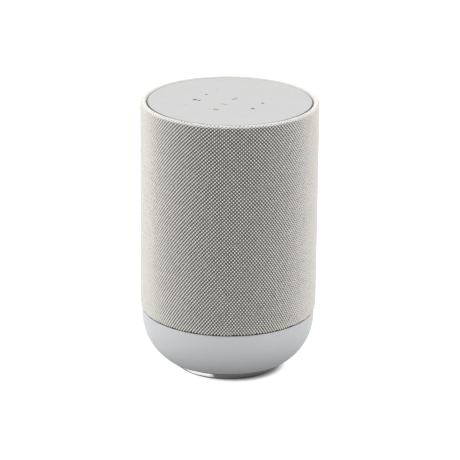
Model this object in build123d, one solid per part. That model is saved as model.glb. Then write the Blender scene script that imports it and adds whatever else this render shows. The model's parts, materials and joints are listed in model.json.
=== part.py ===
"""Cylindrical smart speaker: a cloth-wrapped grille on a bowl-shaped base, with a touch panel on top.

Millimetres. +Z is up, the origin is on the floor under the middle of the speaker, and the front faces -Y.
"""

from build123d import *
import os
from math import asin, cos, degrees, radians, sin, sqrt, tan

# Outer form
body_diameter = 141.2  # over the cloth
body_height = 223.0  # floor to the crest of the cloth rim
seam_height = 49.0  # floor to the line between cloth and base
base_inset = 1.0  # the base wall lies this far inside the cloth
base_straight = 5.0  # upright band of the base below the seam
base_edge_round = 0.8  # upper edge of the base
foot_height = 10.1  # floor to the shadow line between foot and base
base_wall = 2.5
foot_slope = 38.0  # degrees, slope of the foot above the floor
fit_gap = 0.2  # between shells that nest and do not move

# Cloth and grille
cloth_thickness = 1.0
cloth_tuck_gap = 0.85  # between the lower hem and the base
cloth_taper = 0.9  # how far the cloth draws in at the seam
cloth_taper_height = 7.0
hem_depth = 5.0  # how far the cloth is tucked down beside the panel
grille_wall = 2.0
grille_columns = 24
grille_rows = 4
grille_rib = 5.0  # plastic left between two windows
grille_band = 9.0  # plain band above and below the windows

# Top panel, its deck and the touch board
panel_gap = 0.7
panel_recess = 1.8  # below the crest of the rim
panel_thickness = 2.2
panel_edge_round = 0.6
mic_hole_diameter = 1.2
mic_spacing_x = 49.2
mic_front_y = -27.0
mic_back_y = 21.5
mic_length = 3.6
mic_width = 2.6
mic_height = 1.0
deck_rim_width = 3.0
deck_rim_gap = 0.6  # between the deck rim and the hem
deck_floor = 2.0
deck_hem_gap = 0.8  # below the hem
touch_board_thickness = 1.6
touch_board_gap = 0.5

# Acoustic enclosure and tweeter pod
enclosure_gap = 2.8  # between the grille and the enclosure
enclosure_wall = 3.0
baffle_margin = 8.0  # flat front of the enclosure past each side of the woofer's flange
pod_height = 54.0
facet_margin = 17.0  # flat seat past each side of a tweeter's flange
tweeter_turn = 45.0  # degrees away from the front
boss_diameter = 8.0
boss_bite = 0.5  # how far the bosses inside enclosure and pod run into the wall
corner_boss_height = 16.0
pod_screw_angles = (5.0, 60.0, 120.0, 175.0)
deck_screw_angles = (0.0, 60.0, 120.0, 180.0, 270.0)

# Woofer, measured forward from the face of the baffle
woofer_flange_diameter = 84.0
woofer_flange_width = 5.5  # flange outside the hole in the baffle
woofer_gasket = 1.0
woofer_flange = 3.0
woofer_basket_wall = 2.0
woofer_ledge_width = 1.5
woofer_ledge = 1.0
woofer_cone_rim = 2.5
surround_width = 5.5
surround_thickness = 0.8
woofer_cone_depth = 13.0
woofer_paper = 1.0
coil_radius = 12.0  # middle of the voice coil
coil_wall = 0.7
coil_gap = 0.35  # each side of the coil
coil_length = 20.0
coil_rise = 1.0  # above the neck of the cone
spider_depth = 17.0  # spider seat below the cone rim
spider_thickness = 0.6
spider_inset = 7.5  # inside the ledge of the surround
spider_seat = 4.0
spider_seat_gap = 0.5  # between the waves and the seat
spider_wave = 0.8
spider_waves = 3
basket_depth = 26.0
motor_plate = 5.0
motor_radius = 25.0
magnet_height = 12.0
magnet_radius = 30.0
magnet_bore_gap = 2.0
yoke_plate = 5.0
dust_cap_height = 4.0
dust_cap_radius = 15.0
basket_windows = 6
basket_window_width = 15.0
basket_window_height = 11.0
woofer_screw_angles = (45.0, 135.0, 225.0, 315.0)

# Tweeters, measured outward from their facet
tweeter_flange_diameter = 46.0
tweeter_flange = 2.5
tweeter_flange_width = 6.0  # flange outside the cup
tweeter_flare = 1.0  # how far the mouth opens past the cup
tweeter_cup_wall = 2.0
tweeter_cup_depth = 9.0
tweeter_mouth_lip = 0.6  # mouth inside the bore of the cup
tweeter_lip_depth = 1.0  # back of that lip, behind the facet
tweeter_edge_width = 1.8  # between dome and mouth
tweeter_dome_height = 4.5
tweeter_dome_wall = 0.5
tweeter_dome_gap = 0.4  # running gap under the dome's rim
tweeter_coil_depth = 3.0
tweeter_motor_length = 15.0
tweeter_screw_angles = (0.0, 180.0)

# Foot, light bar and rubber pad
foot_gap = 0.4  # shadow line between base and foot
foot_wall = 2.0
foot_floor = 1.6
pad_proud = 0.8  # the pad stands this far below the foot
pad_edge = 2.5  # foot left outside the pad
pad_width = 10.0
pad_groove = 0.8
light_half_angle = 17.5
light_low = 1.6  # lower edge of the window above the foot's underside
light_edge = 0.7  # rim of the foot left above the window
light_flange = 1.2
light_flange_angle = 1.6  # flange past each end of the window, in degrees
light_board_gap = 1.3  # behind the lower edge of the lens
light_board_thickness = 1.6
light_board_drop = 1.7  # below the floor of the base
light_count = 5
led_width = 3.0
led_height = 2.4
led_depth = 1.2
foot_screw_angles = (45.0, 135.0, 225.0, 315.0)
foot_pillar_diameter = 9.0
foot_pillar_gap = 1.5  # between a pillar and the pad
foot_screw_seat = 3.0  # head seat above the foot's underside
foot_boss_height = 3.5

# Screws: head and shank are many-sided prisms
screw_head_diameter = 5.4
screw_head_height = 1.8
screw_shank_diameter = 2.8
screw_hole_diameter = 3.2
screw_pilot_gap = 0.1
head_sides = 10
shank_sides = 6
pilot_depth = 8.0
screw_tip_gap = 0.5  # left below the tip of a screw

# Boards in the base
board_thickness = 1.6
board_standoff = 5.0
power_board_gap = 2.5  # inside the posts of the main board
power_boss_inset = 7.0  # inside the edge of the power board
power_boss_angles = (10.0, 170.0, 235.0, 305.0)
main_board_gap = 2.0  # inside the posts of the enclosure
main_board_height = 42.0  # underside above the floor
main_post_inset = 4.0  # inside the edge of the main board
main_post_angles = (20.0, 160.0, 230.0, 310.0)
post_diameter = 7.0
rear_notch_half_width = 30.0  # both boards leave the rear to the connectors
rear_notch_depth = 25.0  # in from the face of the connector panel
enclosure_post_angles = (30.0, 150.0, 205.0, 335.0)
lip_height = 3.0
lip_width = 2.0
ledge_depth = 4.0
transformer_width = 28.0
transformer_depth = 24.0
transformer_headroom = 3.8  # below the main board
transformer_place = (-14.0, -6.0)
transformer_core = 8.0  # thickness of the core around the winding
capacitor_diameter = 14.0
capacitor_headroom = 2.8
capacitor_places = ((16.0, -9.0), (2.5, -24.0))
heat_sink_width = 21.0
heat_sink_depth = 18.0
heat_sink_headroom = 4.8
heat_sink_place = (13.0, 9.0)
heat_sink_base = 4.0
heat_sink_fin = 1.6
heat_sink_fins = 6
shield_width = 34.0
shield_depth = 30.0
shield_height = 3.0
shield_corner = 2.0
shield_place = (0.0, -16.0)

# Rear connector bay: places are x and height from the middle of the bay
bay_width = 50.0
bay_height = 22.0
bay_drop = 7.0  # top of the bay below the seam
bay_round = 4.0
bay_depth = 20.6  # from the base wall in to the face of the connector panel
bay_panel = 2.5
bay_overlap = 2.0  # panel past the opening on every side
io_board_gap = 10.0  # between panel and connector board
io_board_left = 2.0
io_board_right = 26.0
io_board_margin = 0.5  # short of the bay's height above and below
io_post_diameter = 4.4
io_post_places = ((4.6, -0.2), (14.5, -0.4))
inlet_place = (-11.0, 0.0)
inlet_cavity_width = 15.2
inlet_cavity_height = 8.6
inlet_cavity_depth = 11.0
inlet_wall = 2.0
inlet_length = 17.0
inlet_proud = 0.5
inlet_flange = 2.0
pin_pitch = 8.6
pin_diameter = 2.4
pin_length = 9.5
pin_tail = 3.0  # behind the inlet
usb_place = (10.5, 5.5)
usb_width = 8.9
usb_height = 3.2
usb_wall = 0.35
usb_depth = 6.5
usb_tongue = 0.7
usb_tongue_depth = 1.0  # behind the mouth
usb_body = 1.2  # plastic body round the shell
aux_place = (21.0, 5.0)
aux_bore_diameter = 3.6
aux_barrel_diameter = 6.4
aux_body = 8.0
aux_bore_depth = 12.0
connector_proud = 0.3
button_place = (9.5, -6.0)
button_diameter = 6.0
button_flange_diameter = 8.0
button_flange = 1.6
button_proud = 0.8
button_travel = 0.8
button_stem_diameter = 3.0
moving_gap = 0.3  # between a moving piece and its guide
tact_height = 3.5
tact_size = 6.0
tact_plunger = 0.9
switch_place = (19.5, -6.0)
switch_travel = 3.0
switch_knob_width = 3.0
switch_knob_height = 2.4
switch_plate_width = 7.6
switch_plate_height = 4.6
switch_plate = 1.2
switch_body = 5.0
switch_proud = 0.8

# Ribbon cable from the touch board down the rear to the main board
ribbon_width = 12.0
ribbon_thickness = 0.4
ribbon_bend = 1.5
ribbon_gap = 0.4  # behind the enclosure
ribbon_notch_gap = 1.0  # each side of the ribbon
ribbon_bay_gap = 1.6  # above the connector bay
ribbon_end_inset = 8.0  # upper end inside the deck rim
ribbon_rise = 2.5  # above the main board
ribbon_main_y = 16.0
connector_width = 14.0
connector_depth = 4.0
connector_height = 1.2

# Radii that follow from the sizes above
cloth_r = body_diameter / 2
cloth_inner_r = cloth_r - cloth_thickness
grille_r = cloth_inner_r - fit_gap
grille_inner_r = grille_r - grille_wall
hem_outer_r = grille_inner_r - fit_gap
hem_inner_r = hem_outer_r - cloth_thickness
panel_r = hem_inner_r - panel_gap
deck_rim_r = hem_inner_r - deck_rim_gap
deck_r = grille_inner_r - 1.5 * fit_gap
touch_board_r = deck_rim_r - deck_rim_width - touch_board_gap
enclosure_r = grille_inner_r - enclosure_gap
base_r = cloth_r - base_inset
lip_r = grille_inner_r - fit_gap
lip_inner_r = lip_r - lip_width
rim_round = (cloth_r - hem_inner_r) / 2
rim_r = (cloth_r + hem_inner_r) / 2
baffle_distance = sqrt(enclosure_r**2 - (woofer_flange_diameter / 2 + baffle_margin) ** 2)
pod_facet_distance = sqrt(enclosure_r**2 - (tweeter_flange_diameter / 2 + facet_margin) ** 2)
corner_boss_r = enclosure_r - enclosure_wall - boss_diameter / 2 + boss_bite
enclosure_post_r = enclosure_r - enclosure_wall - boss_diameter / 2
main_board_r = enclosure_post_r - boss_diameter / 2 - main_board_gap
main_post_r = main_board_r - main_post_inset
power_board_r = main_post_r - post_diameter / 2 - power_board_gap
power_boss_r = power_board_r - power_boss_inset
woofer_hole_r = woofer_flange_diameter / 2 - woofer_flange_width
woofer_screw_r = woofer_flange_diameter / 2 - woofer_flange_width / 2
basket_r = woofer_hole_r - 2 * fit_gap
woofer_ledge_r = basket_r - woofer_basket_wall
woofer_cone_r = woofer_ledge_r - surround_width
spider_r = woofer_ledge_r - spider_inset
coil_outer_r = coil_radius + coil_wall / 2
coil_inner_r = coil_radius - coil_wall / 2
tweeter_cup_r = tweeter_flange_diameter / 2 - tweeter_flange_width
tweeter_bore_r = tweeter_cup_r - tweeter_cup_wall
tweeter_mouth_r = tweeter_bore_r - tweeter_mouth_lip
tweeter_dome_r = tweeter_mouth_r - tweeter_edge_width
tweeter_screw_r = tweeter_cup_r + (tweeter_flange_width + fit_gap) / 2

# Heights that follow from the sizes above
rim_z = body_height - rim_round
hem_z = rim_z - hem_depth
panel_top = body_height - panel_recess
panel_bottom = panel_top - panel_thickness
deck_floor_top = hem_z - deck_hem_gap
pod_top = deck_floor_top - deck_floor
pod_bottom = pod_top - pod_height
arc_z = seam_height - base_straight
base_corner_radius = (arc_z - foot_height) / cos(radians(foot_slope))  # the big round of the bowl
foot_top_r = base_r - base_corner_radius * (1 - sin(radians(foot_slope)))
floor_z = foot_height + base_wall
enclosure_bottom = seam_height + lip_height
woofer_z = (enclosure_bottom + pod_bottom) / 2
tweeter_z = pod_bottom + pod_height / 2
power_board_z = floor_z + board_standoff
power_board_top = power_board_z + board_thickness
main_board_top = main_board_height + board_thickness
part_room = main_board_height - power_board_top  # for the tall parts between the boards
bay_top = seam_height - bay_drop
bay_mid = bay_top - bay_height / 2
bay_face = base_r - bay_depth
bay_back = bay_face - bay_panel
rear_notch_y = bay_face - rear_notch_depth
io_board_y = bay_back - io_board_gap
screw_pilot = screw_shank_diameter / 2 + screw_pilot_gap
ribbon_y = enclosure_r + ribbon_gap + ribbon_thickness / 2
ribbon_top_z = panel_bottom - touch_board_thickness - connector_height - ribbon_thickness / 2
ribbon_low_z = max(main_board_top + ribbon_rise, bay_top + base_wall + ribbon_bay_gap)
taper_radius = (cloth_taper_height**2 + cloth_taper**2) / (2 * cloth_taper)
taper_z = seam_height + cloth_tuck_gap + cloth_taper_height

# Foot and light, from the slope of the foot
slope_run = 1 / tan(radians(foot_slope))  # out for each step up
slope_depth = 1 / sin(radians(foot_slope))  # in for each step of wall
foot_low_r = foot_top_r - (foot_height - pad_proud) * slope_run
foot_floor_top = pad_proud + foot_floor
foot_rim = foot_height - foot_gap
pad_outer_r = foot_low_r - pad_edge
pad_inner_r = pad_outer_r - pad_width
foot_screw_r = pad_inner_r - foot_pillar_gap - foot_pillar_diameter / 2
foot_screw_z = pad_proud + foot_screw_seat
light_bottom = pad_proud + light_low
light_top = foot_rim - light_edge
lens_back_r = foot_low_r + light_low * slope_run - (foot_wall + light_flange) * slope_depth
light_board_r = lens_back_r - light_board_gap - light_board_thickness
light_board_height = foot_height - foot_floor_top - light_board_drop

# Woofer, forward from the face of the baffle
woofer_seat = woofer_gasket + woofer_ledge
woofer_front = woofer_gasket + woofer_flange
spider_z = woofer_seat - spider_depth
cone_neck_z = woofer_seat - woofer_cone_depth
coil_top = cone_neck_z + coil_rise
motor_top = -basket_depth
magnet_top = motor_top - motor_plate
yoke_top = magnet_top - magnet_height

# Mains inlet, outward from the axis
inlet_outer_width = inlet_cavity_width + 2 * inlet_wall
inlet_outer_height = inlet_cavity_height + 2 * inlet_wall
inlet_front = bay_face + inlet_proud
inlet_floor = inlet_front - inlet_cavity_depth


def outline(*curves):
    """Face inside a closed run of lines and arcs."""
    return make_face([edge for curve in curves for edge in curve.edges()])


def polygon(*points):
    """Face inside straight lines."""
    return outline(Polyline(*points, close=True))


def spun(face, turn=360.0):
    """Solid of revolution about Z of a face drawn as radius and height."""
    return revolve(Plane.XZ * face, Axis.Z, turn)


def disc(radius, low, high):
    return Pos(0, 0, low) * extrude(Circle(radius), amount=high - low)


def ring(outer, inner, low, high):
    return Pos(0, 0, low) * extrude(Circle(outer) - Circle(inner), amount=high - low)


def block(x, y, z):
    """Box between a low and a high value on each axis."""
    middle = [(low + high) / 2 for low, high in (x, y, z)]
    return Pos(*middle) * Box(x[1] - x[0], y[1] - y[0], z[1] - z[0])


def polar(radius, angles):
    """Places on a circle, at those angles from +X."""
    return [(radius * cos(radians(a)), radius * sin(radians(a))) for a in angles]


def pegs(places, radius, low, high):
    """Upright cylinders at several places."""
    return [Pos(x, y, 0) * disc(radius, low, high) for x, y in places]


def screws(places, seat, length, upward=False):
    """Screws whose heads bear on the seat height, with shanks running down, or up, from it."""
    head = extrude(RegularPolygon(screw_head_diameter / 2, head_sides), amount=screw_head_height)
    shank = extrude(RegularPolygon(screw_shank_diameter / 2, shank_sides), amount=-length)
    screw = Rot(180, 0, 0) * (head + shank) if upward else head + shank
    return Compound([Pos(x, y, seat) * screw for x, y in places])


def along_y(face, place, near, far):
    """Face at a place in the connector bay, run along Y between two distances from the axis."""
    x, height = place
    return extrude(Plane.XZ.offset(-near) * (Pos(x, bay_mid + height) * face), amount=near - far)


def drawn_in_arc(inset):
    """Arc by which cloth and grille draw in above the seam, moved inward by inset."""
    radius = taper_radius - inset
    foot = seam_height + (cloth_tuck_gap if inset <= cloth_thickness else 0)
    turn = degrees(asin((taper_z - foot) / radius))
    return CenterArc((cloth_r - taper_radius, taper_z), radius, 0, -turn)


def cloth_sleeve():
    """Cloth tube, drawn in at the seam and rolled over the rim into the gap round the panel."""
    outside, inside = drawn_in_arc(0), drawn_in_arc(cloth_thickness)
    over = CenterArc((rim_r, rim_z), rim_round, 0, 180)
    under = CenterArc((rim_r, rim_z), rim_round - cloth_thickness, 0, 180)
    return spun(
        outline(
            outside,
            Line(outside @ 0, over @ 0),
            over,
            Line(over @ 1, (hem_inner_r, hem_z)),
            Line((hem_inner_r, hem_z), (hem_outer_r, hem_z)),
            Line((hem_outer_r, hem_z), under @ 1),
            under,
            Line(under @ 0, inside @ 0),
            inside,
            Line(inside @ 1, outside @ 1),
        )
    )


def grille_frame():
    """Moulded carrier of the cloth: a tube with a rounded top edge and rows of windows."""
    outside = drawn_in_arc(cloth_thickness + fit_gap)
    crown = CenterArc((rim_r, rim_z), grille_wall / 2, 0, 180)
    tube = spun(
        outline(
            outside,
            Line(outside @ 0, crown @ 0),
            crown,
            Line(crown @ 1, (grille_inner_r, seam_height)),
            Line((grille_inner_r, seam_height), outside @ 1),
        )
    )
    low, high = taper_z + grille_band, pod_top - grille_band
    pitch = (high - low + grille_rib) / grille_rows
    width = 2 * grille_r * sin(radians(180 / grille_columns)) - grille_rib
    window = Box(2 * cloth_r, width, pitch - grille_rib)
    middles = [low + (row + 0.5) * pitch - grille_rib / 2 for row in range(grille_rows)]
    turns = [column * 360 / grille_columns for column in range(grille_columns // 2)]
    return tube - [Pos(0, 0, z) * Rot(0, 0, turn) * window for z in middles for turn in turns]


def mic_places():
    half = mic_spacing_x / 2
    return [(x, y) for x in (-half, half) for y in (mic_front_y, mic_back_y)]


def top_panel():
    """Flat touch panel with a softened edge and one hole for each microphone."""
    plate = disc(panel_r, panel_bottom, panel_top)
    plate = fillet(plate.edges().group_by(Axis.Z)[-1], panel_edge_round)
    return plate - pegs(mic_places(), mic_hole_diameter / 2, panel_bottom, panel_top)


def touch_board():
    low = panel_bottom - touch_board_thickness
    board = disc(touch_board_r, low, panel_bottom)
    return board - pegs(mic_places(), mic_hole_diameter / 2, low, panel_bottom)


def microphones():
    top = panel_bottom - touch_board_thickness
    body = Box(mic_length, mic_width, mic_height)
    return Compound([Pos(x, y, top - mic_height / 2) * body for x, y in mic_places()])


def ribbon_notch():
    """Slot at the rear for the ribbon cable, full height."""
    half = ribbon_width / 2 + ribbon_notch_gap
    return block((-half, half), (ribbon_y - ribbon_notch_gap, cloth_r), (0, body_height))


def top_deck():
    """Tray under the panel: a floor that centres the grille and a rim that carries the panel."""
    floor = disc(deck_r, pod_top, deck_floor_top)
    rim = ring(deck_rim_r, deck_rim_r - deck_rim_width, deck_floor_top, panel_bottom)
    half = ribbon_width / 2 + ribbon_notch_gap
    passage = block((-half, half), (0, cloth_r), (deck_floor_top, panel_bottom))
    holes = pegs(corner_places(deck_screw_angles), screw_hole_diameter / 2, pod_top, deck_floor_top)
    return floor + rim - passage - ribbon_notch() - holes


def flat_front(radius, distance):
    """Circle with its front cut flat."""
    return Circle(radius) - Pos(0, -distance - radius) * Rectangle(2 * radius, 2 * radius)


def two_facets(radius, distance):
    """Circle cut flat twice, to the left and right of the front."""
    cut = Pos(0, -distance - radius) * Rectangle(2 * radius, 2 * radius)
    return Circle(radius) - Rot(0, 0, tweeter_turn) * cut - Rot(0, 0, -tweeter_turn) * cut


def corner_places(angles):
    return polar(corner_boss_r, angles)


def woofer_place():
    """Place of the woofer: its own +Z runs forward out of the baffle."""
    return Plane((0, -baffle_distance, woofer_z), (1, 0, 0), (0, -1, 0)).location


def tweeter_place(side):
    """Place of a tweeter, side -1 on the left and 1 on the right of the front: +Z runs outward."""
    across, ahead = sin(radians(tweeter_turn)), cos(radians(tweeter_turn))
    outward = (side * across, -ahead, 0)
    middle = (pod_facet_distance * outward[0], pod_facet_distance * outward[1], tweeter_z)
    return Plane(middle, (ahead, side * across, 0), outward).location


def woofer_screw_places():
    return polar(woofer_screw_r, woofer_screw_angles)


def tweeter_screw_places():
    return polar(tweeter_screw_r, tweeter_screw_angles)


def enclosure_shell():
    """Sealed woofer chamber: flat baffle, round back, corner bosses, open at the top."""
    height = pod_bottom - enclosure_bottom
    body = extrude(flat_front(enclosure_r, baffle_distance), amount=height)
    inside = flat_front(enclosure_r - enclosure_wall, baffle_distance - enclosure_wall)
    shell = body - Pos(0, 0, enclosure_wall) * extrude(inside, amount=height)
    shell = Pos(0, 0, enclosure_bottom) * shell
    places = corner_places(pod_screw_angles)
    shell += pegs(places, boss_diameter / 2, pod_bottom - corner_boss_height, pod_bottom)
    shell -= pegs(places, screw_pilot, pod_bottom - pilot_depth, pod_bottom)
    posts = polar(enclosure_post_r, enclosure_post_angles)
    shell -= pegs(posts, screw_hole_diameter / 2, enclosure_bottom, enclosure_bottom + enclosure_wall)
    bore = disc(woofer_hole_r, -2 * enclosure_wall, enclosure_wall)
    pilots = pegs(woofer_screw_places(), screw_pilot, -enclosure_wall, 0)
    return shell - [woofer_place() * hole for hole in [bore, *pilots]]


def tweeter_pod():
    """Upper chamber: its floor closes the woofer chamber and its two flats seat the tweeters."""
    body = extrude(two_facets(enclosure_r, pod_facet_distance), amount=pod_height)
    inside = two_facets(enclosure_r - enclosure_wall, pod_facet_distance - enclosure_wall)
    pod = body - Pos(0, 0, enclosure_wall) * extrude(inside, amount=pod_height)
    pod = Pos(0, 0, pod_bottom) * pod
    places = corner_places(deck_screw_angles)
    pod += pegs(places, boss_diameter / 2, pod_top - corner_boss_height, pod_top)
    pod -= pegs(places, screw_pilot, pod_top - pilot_depth, pod_top)
    lower = corner_places(pod_screw_angles)
    pod -= pegs(lower, screw_hole_diameter / 2, pod_bottom, pod_bottom + enclosure_wall)
    bore = disc(tweeter_cup_r + fit_gap, -2 * enclosure_wall, enclosure_wall)
    pilots = pegs(tweeter_screw_places(), screw_pilot, -enclosure_wall, 0)
    for side in (-1, 1):
        pod -= [tweeter_place(side) * hole for hole in [bore, *pilots]]
    return pod


def woofer_gasket_ring():
    gasket = ring(woofer_flange_diameter / 2, woofer_hole_r, 0, woofer_gasket)
    return gasket - pegs(woofer_screw_places(), screw_hole_diameter / 2, 0, woofer_gasket)


def woofer_frame():
    """Basket: flange, ledge for the surround, windowed cone, step for the spider and rear plate."""
    flange_r = woofer_flange_diameter / 2
    seat_r = woofer_ledge_r + woofer_ledge_width
    step_in = spider_r - spider_seat
    step_r = spider_r + fit_gap
    wall = woofer_basket_wall
    frame = spun(
        polygon(
            (flange_r, woofer_gasket),
            (flange_r, woofer_front),
            (seat_r, woofer_front),
            (seat_r, woofer_seat),
            (woofer_ledge_r, woofer_seat),
            (woofer_ledge_r, woofer_gasket),
            (step_r, spider_z),
            (step_in, spider_z),
            (step_in, motor_top + wall),
            (coil_outer_r + magnet_bore_gap, motor_top + wall),
            (coil_outer_r + magnet_bore_gap, motor_top),
            (step_in + wall, motor_top),
            (step_in + wall, spider_z - wall),
            (step_r + wall, spider_z - wall),
            (basket_r, -woofer_gasket),
            (basket_r, woofer_gasket),
        )
    )
    window = Box(basket_r, basket_window_width, basket_window_height)
    middle = (woofer_gasket + spider_z) / 2
    for count in range(basket_windows):
        frame -= Rot(0, 0, count * 360 / basket_windows) * Pos(basket_r, 0, middle) * window
    return frame - pegs(woofer_screw_places(), screw_hole_diameter / 2, woofer_gasket, woofer_front)


def woofer_surround():
    """Rubber half roll between the ledge of the basket and the rim of the cone."""
    middle = (woofer_cone_r + woofer_ledge_r) / 2
    roll = (woofer_ledge_r - woofer_cone_r) / 2
    hollow = roll - surround_thickness
    top = woofer_seat + surround_thickness
    start = degrees(asin(surround_thickness / roll))
    over = CenterArc((middle, woofer_seat), roll, start, 180 - 2 * start)
    under = CenterArc((middle, woofer_seat), hollow, 0, 180)
    outer = woofer_ledge_r + woofer_ledge_width - fit_gap
    inner = woofer_cone_r - woofer_cone_rim
    edge = Polyline(under @ 1, (inner, woofer_seat), (inner, top), over @ 1)
    lip = Polyline(over @ 0, (outer, top), (outer, woofer_seat), under @ 0)
    return spun(outline(over, edge, under, lip))


def woofer_cone():
    """Paper cone with a flat rim and a neck that sits on the coil."""
    shoulder = woofer_cone_r - woofer_cone_rim
    return spun(
        polygon(
            (woofer_cone_r, woofer_seat),
            (shoulder, woofer_seat),
            (coil_outer_r, cone_neck_z),
            (coil_outer_r, cone_neck_z - woofer_paper),
            (shoulder, woofer_seat - woofer_paper),
            (woofer_cone_r, woofer_seat - woofer_paper),
        )
    )


def dust_cap():
    """Domed cap over the coil, resting on the cone."""
    shoulder = woofer_cone_r - woofer_cone_rim
    climb = woofer_cone_depth / (shoulder - coil_outer_r)
    low = cone_neck_z + climb * (dust_cap_radius - coil_outer_r) + fit_gap / 4
    over = ThreePointArc(*cap_points(dust_cap_radius, low, dust_cap_height))
    under = ThreePointArc(*cap_points(dust_cap_radius - woofer_paper, low, dust_cap_height - woofer_paper))
    return spun(outline(over, Line(over @ 1, under @ 1), under, Line(under @ 0, over @ 0)))


def cap_points(radius, low, height):
    """Top, middle and edge of a shallow dome's outline."""
    sphere = (radius**2 + height**2) / (2 * height)
    half = asin(radius / sphere) / 2
    drop = sphere * (1 - cos(half))
    return (0, low + height), (sphere * sin(half), low + height - drop), (radius, low)


def woofer_spider():
    """Thin waved ring that keeps the coil in the middle."""
    inner = coil_outer_r + fit_gap / 2
    flat = spider_r - spider_seat - spider_seat_gap
    steps = 2 * spider_waves
    radii = [inner + (flat - inner) * step / steps for step in range(steps + 1)] + [spider_r]
    lower = [(r, spider_z + (spider_wave if step % 2 else 0)) for step, r in enumerate(radii[:-1])]
    lower.append((spider_r, spider_z))
    upper = [(r, z + spider_thickness) for r, z in reversed(lower)]
    return spun(polygon(*lower, *upper))


def woofer_yoke():
    back = disc(motor_radius, yoke_top - yoke_plate, yoke_top)
    return back + disc(coil_inner_r - coil_gap, yoke_top, motor_top)


def woofer_nodes():
    """Woofer pieces in their own frame, +Z forward."""
    return {
        "woofer_gasket": woofer_gasket_ring(),
        "woofer_frame": woofer_frame(),
        "woofer_surround": woofer_surround(),
        "woofer_cone": woofer_cone(),
        "woofer_dust_cap": dust_cap(),
        "woofer_coil": ring(coil_outer_r, coil_inner_r, coil_top - coil_length, coil_top),
        "woofer_spider": woofer_spider(),
        "woofer_top_plate": ring(motor_radius, coil_outer_r + coil_gap, magnet_top, motor_top),
        "woofer_magnet": ring(magnet_radius, coil_outer_r + magnet_bore_gap, yoke_top, magnet_top),
        "woofer_yoke": woofer_yoke(),
        "woofer_screws": screws(
            woofer_screw_places(), woofer_front, woofer_front + enclosure_wall - screw_tip_gap
        ),
    }


def tweeter_frame():
    """Round flange with a flared mouth, and a cup that holds the motor."""
    cup = tweeter_cup_r
    flange_r = tweeter_flange_diameter / 2
    throat = tweeter_flange / 3
    body = spun(
        polygon(
            (cup, -tweeter_cup_depth),
            (cup, 0),
            (flange_r, 0),
            (flange_r, tweeter_flange),
            (cup + tweeter_flare, tweeter_flange),
            (tweeter_mouth_r, throat),
            (tweeter_mouth_r, -tweeter_lip_depth),
            (tweeter_bore_r, -tweeter_lip_depth),
            (tweeter_bore_r, -tweeter_cup_depth),
        )
    )
    return body - pegs(tweeter_screw_places(), screw_hole_diameter / 2, 0, tweeter_flange)


def tweeter_motor():
    """Magnet pot pressed into the cup, with a ring gap for the coil."""
    front = -tweeter_lip_depth - tweeter_dome_wall - 2 * tweeter_dome_gap
    pot = disc(tweeter_bore_r - fit_gap / 2, front - tweeter_motor_length, front)
    half = tweeter_dome_wall / 2 + tweeter_dome_gap
    gap = ring(tweeter_dome_r + half, tweeter_dome_r - half, front - 2 * tweeter_coil_depth, front)
    return pot - gap


def tweeter_dome():
    """Domed diaphragm with its edge and the coil below it."""
    wall = tweeter_dome_wall
    rim = tweeter_mouth_r - tweeter_dome_gap
    outer = tweeter_dome_r + wall / 2
    inner = tweeter_dome_r - wall / 2
    over = ThreePointArc(*cap_points(outer, 0, tweeter_dome_height))
    under = ThreePointArc(*cap_points(inner, -wall, tweeter_dome_height))
    low = -tweeter_coil_depth - wall
    edge = Polyline(over @ 1, (rim, 0), (rim, -wall), (outer, -wall), (outer, low), (inner, low), under @ 1)
    return spun(outline(over, edge, under, Line(under @ 0, over @ 0)))


def tweeter_nodes():
    """Both tweeters, each placed on its facet."""
    found = {}
    fasteners = []
    for name, side in (("left", -1), ("right", 1)):
        place = tweeter_place(side)
        found[f"tweeter_{name}_frame"] = place * tweeter_frame()
        found[f"tweeter_{name}_motor"] = place * tweeter_motor()
        found[f"tweeter_{name}_dome"] = place * tweeter_dome()
        length = tweeter_flange + enclosure_wall - screw_tip_gap
        fasteners += (place * screws(tweeter_screw_places(), tweeter_flange, length)).solids()
    found["tweeter_screws"] = Compound(fasteners)
    return found


def bowl(inset, low):
    """Bowl filled up to the seam, its wall moved inward by inset and its floor at the height low."""
    radius = base_corner_radius - inset
    middle = base_r - base_corner_radius
    turn = degrees(asin((arc_z - low) / radius))
    arc = CenterArc((middle, arc_z), radius, 0, -turn)
    edge_r, edge_z = middle + radius - base_edge_round, seam_height - base_edge_round
    edge = CenterArc((edge_r, edge_z), base_edge_round, 0, 90)
    over = Polyline(edge @ 1, (0, seam_height), (0, low), arc @ 1)
    return spun(outline(arc, Line(arc @ 0, edge @ 0), edge, over))


def foot_screw_places():
    return polar(foot_screw_r, foot_screw_angles)


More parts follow.
